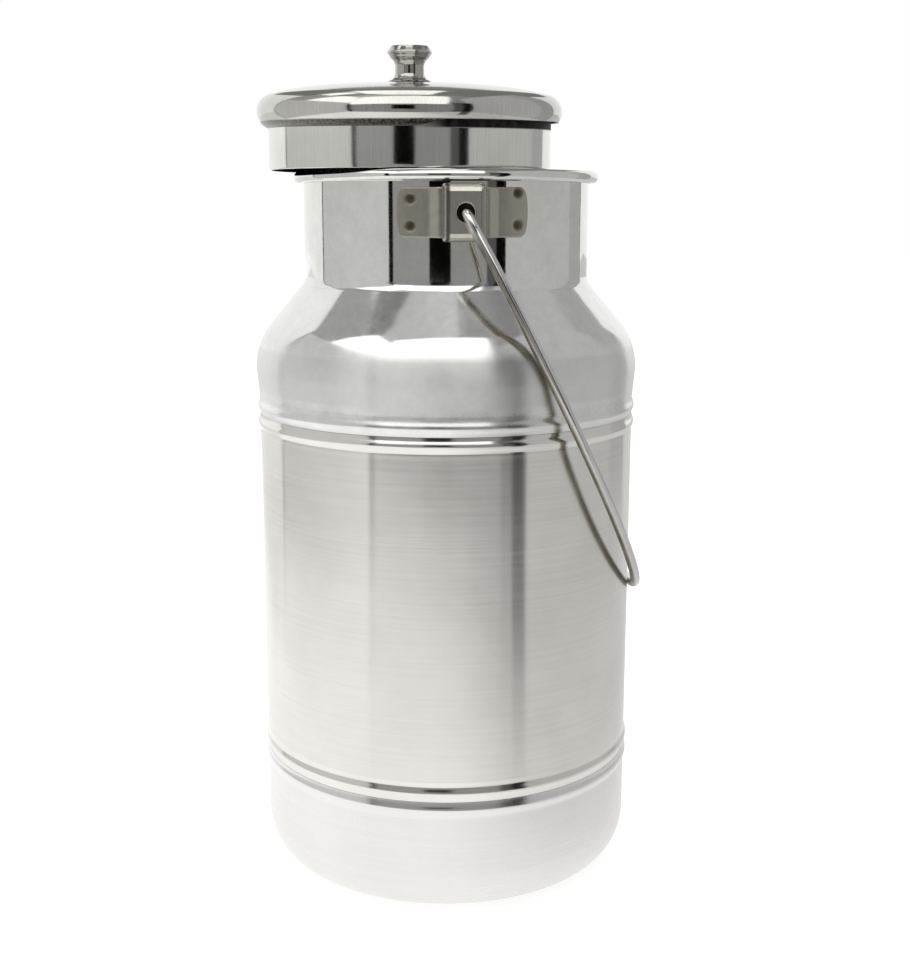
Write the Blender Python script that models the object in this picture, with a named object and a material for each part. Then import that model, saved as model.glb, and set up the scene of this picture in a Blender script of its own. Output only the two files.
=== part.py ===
"""Ten-litre stainless steel milk can with a plug lid and a wire bail.

Metres, +Z up. The origin is the centre of the flat base. The front ear faces -Y and the bail
rests on the +X side of the can.
"""
import math

import bmesh
import bpy
from mathutils import Euler, Matrix, Vector

# ---- driving dimensions ---------------------------------------------------------------------
BODY_R = 0.102            # outer radius of the cylinder
SHEET = 0.0008            # sheet of the can and the lid
GAP = 0.0003              # air between pieces that touch
SEGMENTS = 48             # facets round the can and the lid

BASE_CORNER = (0.0178, 0.0240)     # width and height of the rounded corner under the wall
SHOULDER_R = 0.1034       # widest radius of the shoulder, just under its turn
SHOULDER_Z = 0.2755       # height of that place
SHOULDER_TURN = 0.0380    # radius of the turn between wall and slope
SHOULDER_SLOPE = 40.0     # degrees the straight slope leans in from upright
NECK_R = 0.0762           # outer radius of the neck
RIM_TOP = 0.3790          # top of the rolled rim
RIM_ROLL = 0.0030         # radius of the rolled rim's section
NECK_LAP = 0.0045         # how far the neck reaches down inside the shoulder

LOWER_BEADS = (0.0588, 0.0678)     # crests of the bottom pan's bead and of the shell's
UPPER_BEADS = (0.2468, 0.2557)     # crests of the shell's bead and of the shoulder's
BEAD_RISE = 0.0011        # how far a bead stands out of the wall
BEAD_HALF = 0.0040        # half the height of a bead
LAP = 0.0050              # length of the lips that reach inside the shell
LIP_STEP = 0.0009         # height over which a wall steps in to its lip

EAR_TURN = math.radians(6.5)       # the ears' axis is turned this far from the Y axis
PIVOT_Z = 0.3580          # height of the bail's pivot
STRAP_SHEET = 0.0012
STRAP_HEIGHT = 0.0243
STRAP_HALF_ANGLE = math.radians(24.9)
STRAP_CORNER = 0.0045     # rounding of the strap's corners
BRIDGE_HALF = 0.0125      # half the width of the strap's flat raised middle
BRIDGE_FOOT = 0.0168      # where the strap leaves the neck to rise to the bridge
BRIDGE_FACE = 0.0793      # distance of the bridge's outer face from the can's axis
BOSS_SHEET = 0.0010
BOSS_BASE = (0.0224, 0.0283)       # width and height where it meets the bridge
BOSS_FACE = (0.0168, 0.0208)       # width and height of its flat front
BOSS_DEPTH = 0.0048
BOSS_EDGE = 0.0010        # straight edge at the foot of its sloping sides
BOSS_HOLE_R = 0.0047
BOSS_CUT = 0.0100         # length of the rod that cuts the hole

WIRE_R = 0.0026           # bail wire
WIRE_SIDES = 10
BAIL_LENGTH = 0.2320      # pivot to the middle of the crown
BAIL_HANG = math.radians(26.9)     # lean from straight down, where it rests on the can
BAIL_HALF_AT_EAR = 0.0882
BAIL_SPLAY = 0.290        # how far a leg splays for each metre down it, at the ear
BAIL_CROWN_HALF = 0.0660  # how wide the crown sweeps: the reach of its curve to each side
BAIL_STRAIGHT = 0.1270    # how far down the legs the ears' splay still steers them
BAIL_BEND = 0.0070        # radius of the bend at each ear
BEND_DROP = 0.0091        # how far below the pivot the leg has left the bend
BEND_TIGHTEN = 0.0008     # how far inside the leg's line the bend turns
HEAD_R = 0.0056           # upset head that keeps the wire in the boss
HEAD_LENGTH = 0.0020
HEAD_PLAY = 0.0010        # between the head and the bridge behind it
HEAD_STEP = 0.00005       # length over which the head steps down to the wire

LID_SHIFT = 0.0193        # the lid's axis is this far to -X of the can's
PLUG_TILT = math.radians(0.3)      # the plug stands lower on the +X side
CAP_TILT = math.radians(0.2)       # and so does the cap
CAP_LEAN = math.radians(1.8)       # the cap also leans forward, lower on the -Y side
CAP_PIVOT = 0.0225        # height above the plug's lower edge where the cap leans
PLUG_R = 0.0750           # outer radius of the lid's plug
PLUG_HEIGHT = 0.0371      # up to the underside of the dome, measured along the cap's axis
PLUG_SPARE = 0.0050       # added to the plug before its top is cut along the leaning cap
FLANGE_R = 0.0809         # widest radius of the lid
FLANGE_HEIGHT = 0.0305    # height of that widest place above the plug's lower edge
EDGE_ROLL = 0.0092        # radius of the lid's rolled edge
DOME_POWER = 3.6          # how flat the dome stays before it drops to the edge
DOME_TOP = 0.0448         # middle of the lid above the plug's lower edge

KNOB_HEIGHT = 0.0194
KNOB_TOP_R = 0.0118
KNOB_WAIST_R = 0.0074
KNOB_FOOT_R = 0.0113
KNOB_NECK_R = 0.0104      # under the disc, where the waist begins
KNOB_NECK_DROP = 0.0058   # that place below the knob's top
KNOB_CHAMFER = (0.0021, 0.0030)    # width and height of the bevel round the top
KNOB_BAND = 0.0007        # upright band under that bevel
KNOB_FLARE = 2.4          # how suddenly the waist flares at its ends
FOOT_RISE = 0.0024        # height of the foot's brim
FOOT_TOE = 0.0018         # how far the brim's underside is cut back
KNOB_BORE = 0.0085        # depth of the screw's hole
SCREW_REACH = 0.0080      # how far the screw goes up into it
SCREW_R = 0.0020
SCREW_HEAD_R = 0.0040
SCREW_HEAD_HEIGHT = 0.0024
SCREW_TIP = 0.0004        # chamfer at the screw's tip
SCREW_HEAD_EDGE = 0.0010  # chamfer round its head
WASHER_R = 0.0065
WASHER_THICKNESS = 0.0010


# ---- materials ------------------------------------------------------------------------------
def steel(name, colour, roughness):
    """Principled metal with one colour and one roughness, made once."""
    if name in bpy.data.materials:
        return bpy.data.materials[name]
    material = bpy.data.materials.new(name)
    material.use_nodes = True
    shader = material.node_tree.nodes["Principled BSDF"]
    shader.inputs["Base Color"].default_value = (*colour, 1.0)
    shader.inputs["Metallic"].default_value = 1.0
    shader.inputs["Roughness"].default_value = roughness
    return material


def polished_steel():
    return steel("polished_steel", (0.78, 0.78, 0.77), 0.12)


def brushed_steel():
    return steel("brushed_steel", (0.72, 0.72, 0.70), 0.35)


def pan_steel():
    return steel("pan_steel", (0.80, 0.80, 0.79), 0.30)


def ear_steel():
    return steel("ear_steel", (0.52, 0.51, 0.48), 0.48)


def wire_steel():
    return steel("wire_steel", (0.70, 0.70, 0.68), 0.22)


def knob_steel():
    return steel("knob_steel", (0.74, 0.74, 0.73), 0.15)


def fastener_steel():
    return steel("fastener_steel", (0.60, 0.60, 0.60), 0.30)


# ---- shared tools ---------------------------------------------------------------------------
def clear_scene():
    for old in list(bpy.data.objects):
        bpy.data.objects.remove(old, do_unlink=True)
    for old in list(bpy.data.materials):
        bpy.data.materials.remove(old)


def place(name, data, material, parent=None):
    """Put a mesh or curve into the scene as one named object."""
    data.materials.append(material)
    piece = bpy.data.objects.new(name, data)
    piece.parent = parent
    bpy.context.collection.objects.link(piece)
    return piece


def arc(centre, radii, start, end, steps):
    """Points (r, z) of an arc; angles in degrees, 0 pointing outwards and 90 up."""
    points = []
    for i in range(steps + 1):
        angle = math.radians(start + (end - start) * i / steps)
        points.append((centre[0] + radii[0] * math.cos(angle),
                       centre[1] + radii[1] * math.sin(angle)))
    return points


def bead(wall, crest_z):
    """Points of one rolled bead, from its top edge to its bottom edge."""
    steps = 4
    points = []
    for i in range(steps + 1):
        t = 1.0 - 2.0 * i / steps
        rise = BEAD_RISE * 0.5 * (1.0 + math.cos(math.pi * t))
        points.append((wall + rise, crest_z + BEAD_HALF * t))
    return points


def add_solidify(piece, thickness, offset=-1.0):
    solid = piece.modifiers.new("sheet", "SOLIDIFY")
    solid.thickness = thickness
    solid.offset = offset
    solid.use_even_offset = True


def turned(name, profile, material, parent=None, segments=SEGMENTS, sheet=None, side=-1.0):
    """Turn a profile (r, z) about Z; it runs down the outer side, top to bottom.

    A profile with a sheet is one face of that sheet, and side says where the sheet lies:
    -1 behind the face and 1 before it.
    """
    mesh = bpy.data.meshes.new(name)
    count = len(profile)
    closed = sheet is None and min(profile[0][0], profile[-1][0]) > 0.0
    edges = [(i, i + 1) for i in range(count - 1)]
    if closed:
        edges.append((count - 1, 0))
    mesh.from_pydata([(r, 0.0, z) for r, z in profile], edges, [])
    piece = place(name, mesh, material, parent)
    screw = piece.modifiers.new("turn", "SCREW")
    screw.axis = "Z"
    screw.steps = segments
    screw.render_steps = segments
    screw.use_merge_vertices = True
    screw.merge_threshold = 0.00001
    screw.use_smooth_shade = True
    if sheet is not None:
        add_solidify(piece, sheet, side)
    return piece


# ---- the can --------------------------------------------------------------------------------
LOWER_SEAM = 0.5 * sum(LOWER_BEADS)
UPPER_SEAM = 0.5 * sum(UPPER_BEADS)
LIP_R = BODY_R - SHEET - GAP       # outer radius of a lip inside the shell


def make_bottom_pan():
    """Flat base with a rounded corner; its lip reaches up into the shell."""
    profile = [(LIP_R, LOWER_SEAM + LAP), (LIP_R, LOWER_SEAM), (BODY_R, LOWER_SEAM - LIP_STEP)]
    profile += bead(BODY_R, LOWER_BEADS[0])[1:]
    width, height = BASE_CORNER
    profile += arc((BODY_R - width, height), BASE_CORNER, 0.0, -90.0, 6)
    profile.append((0.0, 0.0))
    return turned("bottom_pan", profile, pan_steel(), sheet=SHEET)


def make_body_shell():
    top = (BODY_R, UPPER_SEAM)
    bottom = (BODY_R, LOWER_SEAM + GAP)
    profile = [top] + bead(BODY_R, UPPER_BEADS[0])[1:]
    profile += bead(BODY_R, LOWER_BEADS[1])[:-1] + [bottom]
    return turned("body_shell", profile, brushed_steel(), sheet=SHEET)


def shoulder_turn():
    """Points of the turn, from the end of the straight slope down to the widest place."""
    centre = (SHOULDER_R - SHOULDER_TURN, SHOULDER_Z)
    return arc(centre, (SHOULDER_TURN, SHOULDER_TURN), SHOULDER_SLOPE, 0.0, 6)


def neck_base():
    """Point (r, z) where the straight slope ends, a gap clear of the neck."""
    slope = math.radians(SHOULDER_SLOPE)
    end_r, end_z = shoulder_turn()[0]
    top_r = NECK_R + GAP + SHEET * math.cos(slope)
    return (top_r, end_z + (end_r - top_r) / math.tan(slope))


def make_shoulder():
    """Straight slope from the neck and a turn into the wall; its lip reaches into the shell."""
    profile = [neck_base()] + shoulder_turn()
    profile += bead(BODY_R, UPPER_BEADS[1])[:-1]
    profile += [(BODY_R, UPPER_SEAM + GAP + LIP_STEP), (LIP_R, UPPER_SEAM),
                (LIP_R, UPPER_SEAM - LAP)]
    return turned("shoulder", profile, polished_steel(), sheet=SHEET)


def make_neck_collar():
    """Straight neck whose top is rolled outwards into the rim.

    The profile follows the outside of the roll and then the inner face of the neck.
    """
    wall_r = NECK_R - SHEET
    centre = (wall_r + RIM_ROLL, RIM_TOP - RIM_ROLL)
    profile = arc(centre, (RIM_ROLL, RIM_ROLL), -140.0, 180.0, 10)
    profile.append((wall_r, neck_base()[1] - NECK_LAP))
    return turned("neck_collar", profile, polished_steel(), sheet=SHEET, side=1.0)


# ---- ears -----------------------------------------------------------------------------------
def strap_course():
    """Points (sideways, outwards) along the strap's outer face, from one end to the other."""
    wing_r = NECK_R + GAP + STRAP_SHEET
    foot_angle = math.asin(BRIDGE_FOOT / wing_r)
    wing_steps = 4
    half = []
    for i in range(wing_steps + 1):
        angle = STRAP_HALF_ANGLE + (foot_angle - STRAP_HALF_ANGLE) * i / wing_steps
        half.append((wing_r * math.sin(angle), wing_r * math.cos(angle)))
    half.append((BRIDGE_HALF, BRIDGE_FACE))
    return [(-side, out) for side, out in half] + half[::-1]


def strap_half_height(course, index):
    """Half the strap's height at one point of its course, less at the rounded ends."""
    ends = (course[0], course[-1])
    reach = min(math.dist(course[index], end) for end in ends)
    cut = max(0.0, STRAP_CORNER - reach)
    return STRAP_HEIGHT / 2 - STRAP_CORNER + math.sqrt(STRAP_CORNER ** 2 - cut ** 2)


def make_ear_strap(name, parent):
    course = strap_course()
    near_end = [0.15, 0.5]         # extra stations in the first stretch, where the corners turn
    stations = []
    for i in range(len(course) - 1):
        a, b = Vector(course[i]), Vector(course[i + 1])
        stations.append(a)
        if i == 0:
            stations += [a.lerp(b, t) for t in near_end]
        if i == len(course) - 2:
            stations += [a.lerp(b, 1.0 - t) for t in reversed(near_end)]
    stations.append(Vector(course[-1]))
    mesh = bpy.data.meshes.new(name)
    bm = bmesh.new()
    pairs = []
    flat = [tuple(point) for point in stations]
    for index, (side, out) in enumerate(flat):
        half = strap_half_height(flat, index)
        pairs.append([bm.verts.new((side, -out, sign * half)) for sign in (-1, 1)])
    for (low_a, high_a), (low_b, high_b) in zip(pairs, pairs[1:]):
        bm.faces.new((low_a, low_b, high_b, high_a))
    bm.to_mesh(mesh)
    bm.free()
    piece = place(name, mesh, ear_steel(), parent)
    add_solidify(piece, STRAP_SHEET)
    return piece


def make_boss_cutter(name, parent):
    """Rod that cuts the bail's hole through a boss."""
    mesh = bpy.data.meshes.new(name)
    bm = bmesh.new()
    turn = Matrix.Rotation(math.radians(90.0), 4, "X")
    bmesh.ops.create_cone(bm, cap_ends=True, segments=20, radius1=BOSS_HOLE_R,
                          radius2=BOSS_HOLE_R, depth=BOSS_CUT, matrix=turn)
    bm.to_mesh(mesh)
    bm.free()
    cutter = bpy.data.objects.new(name, mesh)
    cutter.location = (0.0, -(BRIDGE_FACE + BOSS_DEPTH), 0.0)
    cutter.parent = parent
    cutter.hide_render = True
    cutter.display_type = "WIRE"
    bpy.context.collection.objects.link(cutter)
    return cutter


def make_ear_boss(name, parent):
    """Hollow pressed square with sloping sides, open at the back."""
    mesh = bpy.data.meshes.new(name)
    bm = bmesh.new()
    base_out = BRIDGE_FACE + GAP
    rings = []
    corners = ((-1, -1), (1, -1), (1, 1), (-1, 1))
    outline = ((BOSS_BASE, base_out), (BOSS_BASE, base_out + BOSS_EDGE),
               (BOSS_FACE, base_out + BOSS_DEPTH))
    for (width, height), out in outline:
        rings.append([bm.verts.new((x * width / 2, -out, z * height / 2)) for x, z in corners])
    for low, high in zip(rings, rings[1:]):
        for i in range(4):
            j = (i + 1) % 4
            bm.faces.new((low[i], low[j], high[j], high[i]))
    bm.faces.new(rings[-1])
    bmesh.ops.recalc_face_normals(bm, faces=bm.faces)
    bm.to_mesh(mesh)
    bm.free()
    piece = place(name, mesh, ear_steel(), parent)
    add_solidify(piece, BOSS_SHEET)
    hole = piece.modifiers.new("hole", "BOOLEAN")
    hole.operation = "DIFFERENCE"
    hole.solver = "EXACT"
    hole.object = make_boss_cutter(name + "_cutter", parent)
    return piece


def make_ears():
    for side, turn in (("front", 0.0), ("rear", math.pi)):
        mark = bpy.data.objects.new("ear_axis_" + side, None)
        mark.location = (0.0, 0.0, PIVOT_Z)
        mark.rotation_euler = (0.0, 0.0, EAR_TURN + turn)
        bpy.context.collection.objects.link(mark)
        make_ear_strap("ear_strap_" + side, mark)
        make_ear_boss("ear_boss_" + side, mark)


# ---- bail -----------------------------------------------------------------------------------
def leg_point(t):
    """One leg's curve as (down the leg, half-width), from the ear at 0 to the crown at 1."""
    start = Vector((BEND_DROP, BAIL_HALF_AT_EAR))
    steers = (start, start + BAIL_STRAIGHT * Vector((1.0, BAIL_SPLAY)),
              Vector((BAIL_LENGTH, BAIL_CROWN_HALF)), Vector((BAIL_LENGTH, 0.0)))
    weights = ((1 - t) ** 3, 3 * (1 - t) ** 2 * t, 3 * (1 - t) * t ** 2, t ** 3)
    return sum((w * p for w, p in zip(weights, steers)), Vector((0.0, 0.0)))


def half_bail():
    """Points (down, half-width, radius factor) from the upset head to the crown."""
    inner = BRIDGE_FACE + HEAD_PLAY
    head = HEAD_R / WIRE_R
    points = [(0.0, inner, head), (0.0, inner + HEAD_LENGTH, head),
              (0.0, inner + HEAD_LENGTH + HEAD_STEP, 1.0)]
    leg_steps = 24
    leg = [leg_point(i / leg_steps) for i in range(leg_steps + 1)]
    first = leg[0]
    turn_start = Vector((0.0, first.y - BAIL_BEND))
    corner = Vector((0.0, first.y - BEND_TIGHTEN))
    bend_steps = 5
    for i in range(bend_steps):
        t = i / bend_steps
        spot = (1 - t) ** 2 * turn_start + 2 * (1 - t) * t * corner + t ** 2 * first
        points.append((spot.x, spot.y, 1.0))
    points += [(p.x, p.y, 1.0) for p in leg]
    return points


def wire_ring(bm, before, here, after):
    """Ring of vertices round one point of a wire that lies in the X = 0 plane."""
    tangent = (Vector(after[:2]) - Vector(before[:2])).normalized()
    down, wide, factor = here
    ring = []
    for i in range(WIRE_SIDES):
        angle = 2.0 * math.pi * i / WIRE_SIDES
        across = WIRE_R * factor * math.cos(angle)
        out = WIRE_R * factor * math.sin(angle)
        ring.append(bm.verts.new((out, -wide + across * tangent.x, -down - across * tangent.y)))
    return ring


def make_bail_handle():
    half = half_bail()
    course = half + [(down, -wide, factor) for down, wide, factor in half[-2::-1]]
    bm = bmesh.new()
    last = len(course) - 1
    rings = []
    for i, here in enumerate(course):
        rings.append(wire_ring(bm, course[max(i - 1, 0)], here, course[min(i + 1, last)]))
    for ring, following in zip(rings, rings[1:]):
        for i in range(WIRE_SIDES):
            j = (i + 1) % WIRE_SIDES
            bm.faces.new((ring[i], ring[j], following[j], following[i]))
    bm.faces.new(rings[0])
    bm.faces.new(rings[-1])
    bmesh.ops.recalc_face_normals(bm, faces=bm.faces)
    mesh = bpy.data.meshes.new("bail_handle")
    bm.to_mesh(mesh)
    bm.free()
    pivot = bpy.data.objects.new("bail_pivot", None)
    pivot.location = (0.0, 0.0, PIVOT_Z)
    pivot.rotation_euler = (0.0, 0.0, EAR_TURN)
    bpy.context.collection.objects.link(pivot)
    bail = place("bail_handle", mesh, wire_steel(), pivot)
    bail.rotation_euler = (0.0, -BAIL_HANG, 0.0)
    return bail


# ---- lid ------------------------------------------------------------------------------------
def make_lid_cap(parent):
    """Shallow dome whose edge rolls round and back in to the plug."""
    centre = (FLANGE_R - EDGE_ROLL, FLANGE_HEIGHT)
    edge = arc(centre, (EDGE_ROLL, EDGE_ROLL), 66.0, -64.0, 7)
    start_r, start_z = edge[0]
    dome = [(SCREW_R + GAP, DOME_TOP)]
    dome_steps = 6
    for i in range(1, dome_steps):
        t = math.sqrt(i / dome_steps)
        dome.append((start_r * t, DOME_TOP - (DOME_TOP - start_z) * t ** DOME_POWER))
    return turned("lid_cap", dome + edge, polished_steel(), parent, sheet=SHEET)


def make_plug_cutter(parent):
    """Block whose underside cuts the plug's top where the leaning cap comes down to it."""
    width, height = 2.5 * PLUG_R, 4.0 * PLUG_SPARE
    mesh = bpy.data.meshes.new("lid_plug_cutter")
    bm = bmesh.new()
    bmesh.ops.create_cube(bm, size=1.0)
    bmesh.ops.scale(bm, vec=(width, width, height), verts=bm.verts)
    bm.to_mesh(mesh)
    bm.free()
    cutter = bpy.data.objects.new("lid_plug_cutter", mesh)
    cutter.location = (0.0, 0.0, PLUG_HEIGHT + 0.5 * height)
    cutter.parent = parent
    cutter.hide_render = True
    cutter.display_type = "WIRE"
    bpy.context.collection.objects.link(cutter)
    return cutter


def make_lid_plug_ring(parent, cap_axis):
    """Cylinder that drops into the neck, cut off along the underside of the leaning cap."""
    profile = [(PLUG_R, PLUG_HEIGHT + PLUG_SPARE), (PLUG_R, 0.0)]
    piece = turned("lid_plug_ring", profile, polished_steel(), parent, sheet=SHEET)
    trim = piece.modifiers.new("trim", "BOOLEAN")
    trim.operation = "DIFFERENCE"
    trim.solver = "EXACT"
    trim.object = make_plug_cutter(cap_axis)
    return piece


def make_lid_knob(parent):
    """Solid turned knob: a bevelled disc on a waisted stem with a thin foot."""
    foot = DOME_TOP + GAP
    top = foot + KNOB_HEIGHT
    neck_z = top - KNOB_NECK_DROP
    bevel_width, bevel_height = KNOB_CHAMFER
    profile = [(0.0, top), (KNOB_TOP_R - bevel_width, top), (KNOB_TOP_R, top - bevel_height),
               (KNOB_TOP_R, top - bevel_height - KNOB_BAND), (KNOB_NECK_R, neck_z)]
    steps = 7
    stem = neck_z - (foot + FOOT_RISE)
    for i in range(1, steps + 1):
        t = i / steps
        flare = (KNOB_NECK_R - KNOB_WAIST_R) * abs(2.0 * t - 1.0) ** KNOB_FLARE
        profile.append((KNOB_WAIST_R + flare, neck_z - stem * t))
    profile += [(KNOB_FOOT_R, foot + 0.7 * FOOT_RISE), (KNOB_FOOT_R, foot + 0.5 * FOOT_RISE),
                (KNOB_FOOT_R - FOOT_TOE, foot)]
    hole_r = SCREW_R + GAP
    profile += [(hole_r, foot), (hole_r, foot + KNOB_BORE), (0.0, foot + KNOB_BORE)]
    return turned("lid_knob", profile, knob_steel(), parent, segments=28)


def make_knob_washer(parent):
    top = DOME_TOP - SHEET - GAP
    bottom = top - WASHER_THICKNESS
    hole_r = SCREW_R + GAP
    ring = [(WASHER_R, top), (WASHER_R, bottom), (hole_r, bottom), (hole_r, top)]
    return turned("knob_washer", ring, fastener_steel(), parent, segments=24)


def make_knob_screw(parent):
    """Screw that holds the knob from inside the lid, head down."""
    head_top = DOME_TOP - SHEET - GAP - WASHER_THICKNESS - GAP
    head_bottom = head_top - SCREW_HEAD_HEIGHT
    tip = DOME_TOP + GAP + SCREW_REACH
    profile = [(0.0, tip), (SCREW_R - SCREW_TIP, tip), (SCREW_R, tip - SCREW_TIP),
               (SCREW_R, head_top), (SCREW_HEAD_R, head_top),
               (SCREW_HEAD_R, head_bottom + SCREW_HEAD_EDGE),
               (SCREW_HEAD_R - SCREW_HEAD_EDGE, head_bottom), (0.0, head_bottom)]
    return turned("knob_screw", profile, fastener_steel(), parent, segments=20)


def make_lid():
    """The plug stands on the rim; the cap and its knob hang on an axis that leans forward."""
    foot = Vector((-LID_SHIFT, 0.0, RIM_TOP + GAP))
    plug_axis = bpy.data.objects.new("plug_axis", None)
    plug_axis.location = foot
    plug_axis.rotation_euler = (0.0, PLUG_TILT, 0.0)
    bpy.context.collection.objects.link(plug_axis)
    lean = Euler((CAP_LEAN, CAP_TILT, 0.0))
    pivot = Vector((0.0, 0.0, CAP_PIVOT))
    cap_axis = bpy.data.objects.new("cap_axis", None)
    cap_axis.location = foot + pivot - lean.to_matrix() @ pivot
    cap_axis.rotation_euler = lean
    bpy.context.collection.objects.link(cap_axis)
    make_lid_plug_ring(plug_axis, cap_axis)
    make_lid_cap(cap_axis)
    make_lid_knob(cap_axis)
    make_knob_washer(cap_axis)
    make_knob_screw(cap_axis)


def main():
    clear_scene()
    make_bottom_pan()
    make_body_shell()
    make_shoulder()
    make_neck_collar()
    make_ears()
    make_bail_handle()
    make_lid()


main()
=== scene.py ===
"""Ten-litre stainless steel milk can: the fine surfaces, finishes and studio round its CAD frame.

Metres, in the frame of the CAD part: +Z up, origin at the centre of the base, the front ear
facing -Y and the bail resting on the +X side.
"""
import math

import bmesh
import bpy
from mathutils import Euler, Matrix, Vector, noise


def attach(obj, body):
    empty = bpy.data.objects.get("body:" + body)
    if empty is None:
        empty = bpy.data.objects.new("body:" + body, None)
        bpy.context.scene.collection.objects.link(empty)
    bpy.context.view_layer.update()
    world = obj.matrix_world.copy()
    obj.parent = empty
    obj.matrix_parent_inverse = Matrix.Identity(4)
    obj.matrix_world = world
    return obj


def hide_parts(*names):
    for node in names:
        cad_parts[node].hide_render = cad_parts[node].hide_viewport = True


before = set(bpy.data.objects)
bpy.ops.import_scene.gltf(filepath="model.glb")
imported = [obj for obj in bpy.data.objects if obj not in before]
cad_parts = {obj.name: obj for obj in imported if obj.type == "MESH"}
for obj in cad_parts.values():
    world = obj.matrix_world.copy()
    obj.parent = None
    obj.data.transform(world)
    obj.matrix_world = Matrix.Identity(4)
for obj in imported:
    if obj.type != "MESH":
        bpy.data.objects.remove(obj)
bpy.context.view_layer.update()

# ---- dimensions -------------------------------------------------------------------------------
# What the CAD part also has is the same there, except the boss's face, foot and hole and the
# knob's waist, which follow the photograph a little more closely here.
BODY_R = 0.102
SHEET = 0.0008
GAP = 0.0003
BASE_CORNER = (0.0178, 0.0240)
SHOULDER_R = 0.1034
SHOULDER_Z = 0.2755
SHOULDER_TURN = 0.0380
SHOULDER_SLOPE = 40.0
NECK_R = 0.0762
RIM_TOP = 0.3790
RIM_ROLL = 0.0030
NECK_LAP = 0.0045
WELD_FILLET = 0.0075      # radius of the weld's hollow face between neck and shoulder
WELD_LIFT = 0.00003       # how far that weld's feet stand off the neck and the shoulder
LOWER_BEADS = (0.0588, 0.0678)
UPPER_BEADS = (0.2468, 0.2557)
BEAD_RISE = 0.0011
BEAD_HALF = 0.0040
LAP = 0.0050
SEAM = 0.0002             # width of the fine line between two sheets
BASE_MIDDLE = 0.004       # inside this radius the base's facets run to one point
RIM_CURL = -140.0         # degrees on its section where the rolled rim ends, under itself
LIP_R = BODY_R - SHEET - GAP
LOWER_SEAM = 0.5 * sum(LOWER_BEADS)
UPPER_SEAM = 0.5 * sum(UPPER_BEADS)

EAR_TURN = math.radians(6.5)
PIVOT_Z = 0.3580
STRAP_SHEET = 0.0012
STRAP_HEIGHT = 0.0243
STRAP_HALF_ANGLE = math.radians(24.9)
STRAP_CORNER = 0.0045
STRAP_FOLD = 0.0009       # length over which a fold of the strap is rounded
STRAP_ROWS = 44
EDGE_WIDTH, EDGE_DROP = 0.0005, 0.00045     # rounding of the strap's edges
END_BULGE = 0.0011        # how far the middle of a strap's end stands beyond its corners
# Spot welds of a strap: how far along it and up each one is, and their radius and depth.
WELD_SPOTS = ((-0.0274, 0.0065), (-0.0274, -0.0065), (0.0288, 0.0092), (0.0288, -0.0062))
WELD_R, WELD_DIMPLE = 0.0031, 0.00035
BRIDGE_HALF = 0.0125
BRIDGE_FOOT = 0.0168
BRIDGE_FACE = 0.0793
BOSS_BASE = (0.0224, 0.0283)
BOSS_FACE = (0.0158, 0.0204)
BOSS_DEPTH = 0.0048
BOSS_SHEET = 0.0010
BOSS_HOLE_R = 0.0044
BOSS_FOOT = 0.0007        # width and height of the boss's narrow foot
BOSS_CROWN = 0.00012      # rise of the middle of its face
CROWN_REACH = (0.0084, 0.0104)     # that rise ends this far from the middle, across and up
LIP_WIDTH, LIP_TURN = 0.0009, 0.0005     # the turned-in lip round the hole
CREASE_LEFT, CREASE_RIGHT = 0.85, 0.45     # how much painted dark reflection the creases at its two sides get
CREASE_BEGIN, CREASE_END = (-0.0008, 0.0002), (0.0011, 0.0022)     # past the face's edge

WIRE_R = 0.0026
BAIL_LENGTH = 0.2320
BAIL_HANG = math.radians(26.9)
BAIL_HALF_AT_EAR = 0.0882
BAIL_SPLAY = 0.290
BAIL_CROWN_HALF = 0.0660
BAIL_STRAIGHT = 0.1270
BAIL_BEND = 0.0070
BEND_DROP = 0.0091
BEND_TIGHTEN = 0.0008
HEAD_R = 0.0056
HEAD_LENGTH = 0.0020
HEAD_PLAY = 0.0010
HEAD_EDGE = 0.0005        # rounding of the head's edges
HEAD_RINGS = 6            # rings 0 to 6 from each end of the wire shape its heads

LID_SHIFT = 0.0193
PLUG_TILT = math.radians(0.3)
CAP_TILT = math.radians(0.2)
CAP_LEAN = math.radians(1.8)
CAP_PIVOT = 0.0225
PLUG_R = 0.0750
PLUG_HEIGHT = 0.0371
FLANGE_R = 0.0809
FLANGE_HEIGHT = 0.0305
EDGE_ROLL = 0.0092
ROLL_START = 66.0         # degrees above level where the dome turns into the rolled edge
CURL_SHUT, CURL_OPEN = -67.0, -34.0     # degrees below level where the rolled edge may stop
JOINT_BAND = (31.0, 36.0)     # degrees below level where the joint's dark band begins
PAINTED_SHADE_LINE = 0.0214       # painted shade darkens the plug above this height, behind the gaping edge
PLUG_EDGE = 0.0003        # chamfer of the plug's edges
FOOT_TURN, FOOT_HEIGHT = 0.00028, 0.0040     # the plug's foot turns in a little
DOME_POWER = 3.6
DOME_TOP = 0.0448
KNOB_HEIGHT = 0.0194
KNOB_TOP_R = 0.0118
KNOB_WAIST_R = 0.0077
KNOB_FOOT_R = 0.0113
KNOB_BORE_R, KNOB_BORE = 0.0023, 0.0085     # the screw's hole in the knob
SCREW_R = 0.0020

ROUND = 256               # facets round the can and the lid


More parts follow.
